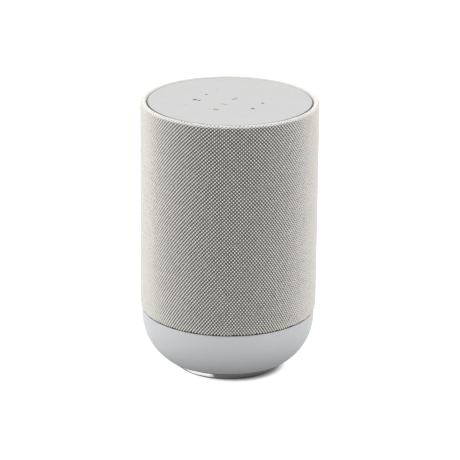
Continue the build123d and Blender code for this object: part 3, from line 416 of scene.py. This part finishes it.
def yarn(name, colour, spread, twist_scale):
    """Spun yarn: twisted plies along each float, fine fibres and a soft sheen."""
    material, tree, shader = new_material(name, roughness=0.9)
    place = add_node(tree, "ShaderNodeTexCoord")
    twist = add_node(tree, "ShaderNodeTexWave", bands_direction="DIAGONAL")
    twist.inputs["Scale"].default_value = twist_scale
    twist.inputs["Distortion"].default_value = 1.5
    tree.links.new(place.outputs["UV"], twist.inputs["Vector"])
    tone = add_node(tree, "ShaderNodeMix")
    tone.inputs["Factor"].default_value = 0.35
    tree.links.new(noise(tree, scale=420.0, detail=4.0, roughness=0.65), tone.inputs["A"])
    tree.links.new(twist.outputs["Fac"], tone.inputs["B"])
    vary_colour(tree, shader, tone.outputs["Result"], colour, spread)
    add_bump(tree, shader, twist.outputs["Fac"], strength=0.35, distance=0.00008)
    shader.inputs["Specular IOR Level"].default_value = 0.2
    shader.inputs["Sheen Weight"].default_value = 1.0
    shader.inputs["Sheen Roughness"].default_value = 0.5
    return material


# Materials by the record's slots
slot_materials = {
    "cloth": yarn("dark_yarn", (0.084, 0.080, 0.075), spread=0.16, twist_scale=2.0),
    "grille_plastic": plastic("grille_plastic", (0.03, 0.029, 0.028), roughness=0.6),
    "panel_plastic": plastic(
        "panel_plastic", (0.575, 0.580, 0.572), roughness=0.42, grain=3200.0, relief=0.06, spread=0.012
    ),
    "base_plastic": plastic(
        "base_plastic",
        (0.51, 0.522, 0.536),
        roughness=0.5,
        grain=2600.0,
        relief=0.08,
        spread=0.012,
        shine=0.3,
    ),
    "foot_gloss": plastic(
        "foot_gloss",
        (0.010, 0.010, 0.011),
        roughness=0.22,
        grain=600.0,
        relief=0.02,
        spread=0.1,
        shine=0.08,
    ),
    "pad_rubber": rubber("pad_rubber", (0.025, 0.025, 0.025)),
    "light_lens": lit_lens("light_lens", (0.86, 0.87, 0.88)),
    "led": plastic("led", (0.85, 0.80, 0.52), roughness=0.2),
    "inner_plastic": plastic("inner_plastic", (0.018, 0.018, 0.019), roughness=0.55),
    "steel_screw": metal("steel_screw", (0.56, 0.56, 0.57), roughness=0.32),
    "motor_steel": metal("motor_steel", (0.42, 0.42, 0.44), roughness=0.38),
    "magnet": plastic(
        "magnet", (0.03, 0.03, 0.032), roughness=0.7, grain=900.0, relief=0.4, spread=0.15
    ),
    "cone_paper": fibrous("cone_paper", (0.022, 0.022, 0.022)),
    "spider_cloth": fibrous("spider_cloth", (0.45, 0.27, 0.07)),
    "copper": metal("copper", (0.72, 0.36, 0.18), roughness=0.3, squeeze=(40.0, 1.0, 1.0)),
    "dome_silk": fibrous("dome_silk", (0.02, 0.02, 0.022)),
    "circuit_board": circuit_board("circuit_board", (0.008, 0.09, 0.045)),
    "core_iron": plastic(
        "core_iron", (0.045, 0.045, 0.048), roughness=0.75, grain=1200.0, relief=0.3, spread=0.12
    ),
    "capacitor": plastic(
        "capacitor",
        (0.012, 0.012, 0.022),
        roughness=0.25,
        grain=500.0,
        relief=0.05,
        spread=0.1,
        coat=0.4,
    ),
    "heat_sink": metal("heat_sink", (0.66, 0.67, 0.68), roughness=0.35),
    "connector_plastic": plastic("connector_plastic", (0.014, 0.014, 0.015), roughness=0.5),
    "connector_metal": metal("connector_metal", (0.68, 0.67, 0.65), roughness=0.2),
    "control_plastic": plastic("control_plastic", (0.34, 0.35, 0.36), roughness=0.45),
    "ribbon_film": plastic(
        "ribbon_film", (0.62, 0.58, 0.48), roughness=0.3, grain=700.0, relief=0.05, spread=0.05
    ),
}
shade_gap(slot_materials["base_plastic"], along_axis, *ledge_heights, ledge_share)
shade_gap(slot_materials["panel_plastic"], off_axis, *edge_reach, edge_share)


def dress_nodes():
    """Give every carried-over node the material of its slot."""
    for part in frame["record"]["subparts"]:
        node = frame["nodes"][part["node"]]
        node.data.materials.clear()
        node.data.materials.append(slot_materials[part["material_slot"]])


def flexing_ring(node_name, inner, outer):
    """Ring of the woofer that goes with the cone inside one radius and stays on the basket past another."""
    low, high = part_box(node_name)
    middle = (low + high) / 2
    mesh = frame["nodes"][node_name].data.copy()
    piece = add_object(node_name + "_flexing", mesh)
    start = middle + Vector((outer, 0.0, 0.0))
    end = middle + Vector((inner, 0.0, 0.0))
    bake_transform(piece, "speaker", "woofer_diaphragm", start=start, end=end)
    away = np.array([point.co - middle for point in mesh.vertices])
    share = np.clip((outer - np.hypot(away[:, 0], away[:, 2])) / (outer - inner), 0, 1)
    follow = share**2 * (3 - 2 * share)
    mesh.attributes["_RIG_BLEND"].data.foreach_set("value", follow.astype(np.float32))
    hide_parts(node_name)


def flex_woofer():
    """Surround and spider: they bend all round between the moving cone and the basket."""
    cone_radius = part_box("woofer_cone")[1].x
    coil_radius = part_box("woofer_coil")[1].x
    spider_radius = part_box("woofer_spider")[1].x
    roll_start = cone_radius + surround_lip
    roll_end = cone_radius + surround_roll - surround_lip
    flexing_ring("woofer_surround", roll_start, roll_end)
    flexing_ring("woofer_spider", coil_radius, spider_radius - spider_seat)


def cloth_point(run, turn, depth):
    """Points at a run along the outline, a turn about the axis and a depth below the outer face."""
    draw_in = np.clip(run / taper_radius, 0, taper_turn) - taper_turn
    side = np.clip(run - side_start, 0, rim_start - side_start)
    roll = np.clip((run - rim_start) / rim_round, 0, math.pi)
    hem = np.clip(run - hem_start, 0, None)
    radius = cloth_radius + taper_radius * (np.cos(draw_in) - 1) + rim_round * (np.cos(roll) - 1)
    height = taper_z + taper_radius * np.sin(draw_in) + side + rim_round * np.sin(roll) - hem
    slope = draw_in + roll
    depth = depth * (1 - rim_thin * np.sin(np.minimum(roll, math.pi / 2)) ** 2)
    radius = radius - depth * np.cos(slope)
    height = height - depth * np.sin(slope)
    return np.stack([radius * np.cos(turn), radius * np.sin(turn), height], axis=-1)


def thread_turn(run, turn):
    """Turn at which a thread lies at a run, as the cloth is pulled a little wider on one side."""
    side = turn - spread_turn
    rise = 2 * run / cloth_run - 1
    return turn + even_spread * np.sin(2 * side) / 2 + top_spread * rise * np.sin(side)


def woven_piece(name, points, quads, material, uvs):
    """Smooth-shaded mesh object from arrays of points and quads, with a UV pair for each corner."""
    mesh = bpy.data.meshes.new(name)
    mesh.from_pydata(points.reshape(-1, 3).tolist(), [], quads.reshape(-1, 4).tolist())
    mesh.shade_smooth()
    layer = mesh.uv_layers.new(name="weave")
    layer.data.foreach_set("uv", uvs.reshape(-1).astype(np.float32))
    mesh.materials.append(material)
    piece = add_object(name, mesh)
    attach(piece, "speaker")
    return piece


def dark_threads():
    """Dark threads of the weave: one sheet that rises between the light floats and dips under them."""
    steps = np.arange(thread_rows * steps_per_row)
    rows, columns = np.meshgrid(steps, np.arange(thread_columns), indexing="ij")
    run = (rows + 0.5) * row_pitch / steps_per_row
    run[0] = 0.0
    run[-1] = cloth_run
    turn = columns * 2 * math.pi / thread_columns
    depth = np.where((rows // steps_per_row + columns) % 2 == 0, dark_dip, dark_depth)
    points = cloth_point(run, turn, depth)
    number = rows * thread_columns + columns
    right = np.roll(number, -1, axis=1)
    quads = np.stack([number[:-1], right[:-1], right[1:], number[1:]], axis=-1)
    corner = np.stack([columns, rows / steps_per_row], axis=-1)
    beside = corner + (1.0, 0.0)
    uvs = np.stack([corner[:-1], beside[:-1], beside[1:], corner[1:]], axis=-2)
    return woven_piece("cloth_dark_threads", points, quads, slot_materials["cloth"], uvs)


def float_places(low, high):
    """Run and column of the middle of each light float between two runs."""
    grid = np.meshgrid(np.arange(-1, thread_rows + skew_rows), np.arange(thread_columns), indexing="ij")
    rows, columns = (axis.reshape(-1) for axis in grid)
    middle = (rows + 0.5 - skew_rows * columns / thread_columns) * row_pitch
    rise = 2 * middle / cloth_run - 1
    middle = middle + row_crowding * (1 - rise**2) * cloth_run / 4
    wanted = ((rows + columns) % 2 == 1) & (middle >= low) & (middle < high)
    return middle[wanted, None], columns[wanted, None]


def float_patch():
    """Points of one float across, along and above its foot as shares of its size, and its quads."""
    angle = (np.arange(float_sides) + 0.5) * 2 * math.pi / float_sides
    reach = np.repeat([0.5, 0.5 * crown_share], float_sides)
    across = reach * np.tile(np.cos(angle), 2)
    along = reach * np.tile(np.sin(angle), 2)
    lift = np.repeat([0.0, 1.0], float_sides)
    step = np.arange(float_sides)
    ahead = np.roll(step, -1)
    sides = np.stack([step, ahead, ahead + float_sides, step + float_sides], axis=-1)
    crown = float_sides + np.array([[0, 1, 2, 3], [0, 3, 4, 7], [4, 5, 6, 7]])
    return across, along, lift, np.concatenate([sides, crown])


def light_floats(low, high, name, material, random):
    """Light floats of the weave between two runs: small round pillows that stand on the dark threads."""
    middle, columns = float_places(low, high)
    across, along, lift, patch = float_patch()
    count = len(middle)
    length = float_length * random.normal(1.0, size_spread, (count, 1))
    width = float_width * random.normal(1.0, size_spread, (count, 1))
    crest = random.uniform(crest_low, 1.0, (count, 1))
    lean = random.normal(0.0, lean_spread, (count, 1))
    shift = random.random((count, 1, 1, 2)) * twist_shift
    swell = 1 + rim_swell * np.clip((middle - rim_start - swell_start) / swell_blend, 0, 1)
    centre = thread_turn(middle, columns * 2 * math.pi / thread_columns)
    run = middle + along * length * swell
    turn = centre + (across * width * swell + along * length * lean) / cloth_radius
    depth = float_foot - (float_foot + float_proud) * crest * lift
    points = cloth_point(np.clip(run, 0.0, cloth_run), turn, depth)
    quads = patch[None] + 2 * float_sides * np.arange(count)[:, None, None]
    corner = np.stack([across + 0.5, along + 0.5], axis=-1)
    uvs = np.broadcast_to(corner[patch], (count, *corner[patch].shape))
    return woven_piece(name, points, quads, material, uvs + shift)


def weave_cloth():
    """Woven sleeve: dark threads as a sheet and light floats in bands on it."""
    random = np.random.default_rng(weave_seed)
    sheet = dark_threads()
    light_yarn = yarn("light_yarn", (0.77, 0.749, 0.702), spread=0.06, twist_scale=1.2)
    edges = np.linspace(-seam_overhang, cloth_run - hem_margin, cloth_bands + 1)
    for index in range(cloth_bands):
        name = f"cloth_light_floats_{index + 1}"
        light_floats(edges[index], edges[index + 1], name, light_yarn, random)
    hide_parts("cloth_sleeve")


def stadium(x, y, wide, deep, turn):
    """Outline of a round-ended bar turned about its middle, or a dot where it is as wide as deep."""
    radius = min(wide, deep) / 2
    points = []
    for index in range(4 * corner_sides):
        angle = 2 * math.pi * (index + 0.5) / (4 * corner_sides)
        along = math.copysign(wide / 2 - radius, math.cos(angle)) + radius * math.cos(angle)
        over = math.copysign(deep / 2 - radius, math.sin(angle)) + radius * math.sin(angle)
        place_x = x + along * math.cos(turn) - over * math.sin(turn)
        place_y = y + along * math.sin(turn) + over * math.cos(turn)
        points.append((place_x, place_y))
    return points


def touch_marks():
    """Printed marks of the touch keys: thin pads of ink on the panel."""
    points = []
    faces = []
    for index, shape in enumerate(touch_shapes.values()):
        ring = stadium(*shape)
        ink_top = panel_top + ink_height * (1.0 + ink_step * index)
        low = len(points)
        points += [(x, y, panel_top) for x, y in ring]
        points += [(x, y, ink_top) for x, y in ring]
        size = len(ring)
        faces.append([low + size + step for step in range(size)])
        for step in range(size):
            ahead = (step + 1) % size
            faces.append([low + step, low + ahead, low + size + ahead, low + size + step])
    mesh = bpy.data.meshes.new("touch_marks")
    mesh.from_pydata(points, [], faces)
    ink = plastic("mark_ink", (0.13, 0.132, 0.135), roughness=0.55, grain=3000.0, relief=0.1, spread=0.1)
    mesh.materials.append(ink)
    piece = add_object("touch_marks", mesh)
    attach(piece, "speaker")


def add_camera():
    """Camera where the photograph's stood."""
    toward = Vector(
        (
            math.cos(view_elevation) * math.sin(view_azimuth),
            -math.cos(view_elevation) * math.cos(view_azimuth),
            math.sin(view_elevation),
        )
    )
    data = bpy.data.cameras.new("camera")
    data.lens = focal_length
    data.sensor_width = sensor_width
    data.shift_x = picture_shift
    data.clip_end = view_limit
    camera = add_object("camera", data)
    camera.location = view_target + view_distance * toward
    camera.rotation_mode = "QUATERNION"
    camera.rotation_quaternion = toward.to_track_quat("Z", "Y") @ Quaternion((0, 0, 1), view_roll)
    bpy.context.scene.camera = camera


def seen_rays(tree):
    """One for the rays that see the backdrop: from the camera, in a gloss or through a clear part."""
    path = add_node(tree, "ShaderNodeLightPath")
    gloss = calculate(tree, "MAXIMUM", path.outputs["Is Camera Ray"], path.outputs["Is Glossy Ray"])
    return calculate(tree, "MAXIMUM", gloss, path.outputs["Is Transmission Ray"])


def floor_material():
    """Matt floor that is darker under the foot, with a glow to plain white for the rays that see it."""
    material, tree, shader = new_material("floor", roughness=0.9)
    shader.inputs["Specular IOR Level"].default_value = 0.0
    distance = add_node(tree, "ShaderNodeVectorMath", operation="DISTANCE")
    distance.inputs[1].default_value = glow_middle
    tree.links.new(object_place(tree), distance.inputs[0])
    ease = map_range(tree, distance.outputs["Value"], *dark_reach, interpolation_type="SMOOTHSTEP")
    tones = ((0.0, (floor_dark,) * 3), (1.0, (floor_tone,) * 3))
    tree.links.new(ramp(tree, ease.outputs["Result"], tones), shader.inputs["Base Color"])
    fade = map_range(tree, distance.outputs["Value"], *glow_reach, interpolation_type="SMOOTHSTEP")
    fade.inputs["To Min"].default_value = floor_glow
    glow = add_node(tree, "ShaderNodeEmission")
    lit = add_node(tree, "ShaderNodeAddShader")
    mix = add_node(tree, "ShaderNodeMixShader")
    tree.links.new(fade.outputs["Result"], glow.inputs["Strength"])
    tree.links.new(shader.outputs["BSDF"], lit.inputs[0])
    tree.links.new(glow.outputs["Emission"], lit.inputs[1])
    tree.links.new(seen_rays(tree), mix.inputs["Fac"])
    tree.links.new(shader.outputs["BSDF"], mix.inputs[1])
    tree.links.new(lit.outputs["Shader"], mix.inputs[2])
    tree.links.new(mix.outputs["Shader"], tree.nodes["Material Output"].inputs["Surface"])
    return material


def add_floor():
    """Wide pale floor: it keeps the shadow beside the foot and fades to plain white farther out."""
    turns = [2 * math.pi * index / floor_sides for index in range(floor_sides)]
    edge = [(floor_radius * math.cos(turn), floor_radius * math.sin(turn), 0.0) for turn in turns]
    mesh = bpy.data.meshes.new("floor")
    mesh.from_pydata(edge, [], [list(range(floor_sides))])
    mesh.materials.append(floor_material())
    floor = add_object("floor", mesh)


def add_world():
    """White studio: seen as plain white, and a softer white as light."""
    white = (1.0, 1.0, 1.0, 1.0)
    world = bpy.data.worlds.new("studio")
    world.use_nodes = True
    tree = world.node_tree
    tree.nodes.clear()
    seen = add_node(tree, "ShaderNodeBackground")
    seen.inputs["Strength"].default_value = 1.0
    seen.inputs["Color"].default_value = white
    light = add_node(tree, "ShaderNodeBackground")
    light.inputs["Strength"].default_value = world_strength
    light.inputs["Color"].default_value = white
    mix = add_node(tree, "ShaderNodeMixShader")
    output = add_node(tree, "ShaderNodeOutputWorld")
    tree.links.new(seen_rays(tree), mix.inputs["Fac"])
    tree.links.new(light.outputs["Background"], mix.inputs[1])
    tree.links.new(seen.outputs["Background"], mix.inputs[2])
    tree.links.new(mix.outputs["Shader"], output.inputs["Surface"])
    bpy.context.scene.world = world


def add_area(name, place, size, power):
    """Round soft light aimed where the camera looks."""
    data = bpy.data.lights.new(name, "AREA")
    data.shape = "DISK"
    data.size = size
    data.energy = power
    light = add_object(name, data)
    light.location = place
    light.rotation_mode = "QUATERNION"
    light.rotation_quaternion = (Vector(place) - view_target).to_track_quat("Z", "Y")


def add_studio():
    """Floor, backdrop and lights, with plain colours in the picture."""
    add_floor()
    add_world()
    add_area("key", key_place, key_size, key_power)
    add_area("fill", fill_place, fill_size, fill_power)
    bpy.context.scene.view_settings.view_transform = "Standard"


dress_nodes()
flex_woofer()
weave_cloth()
touch_marks()
add_camera()
add_studio()
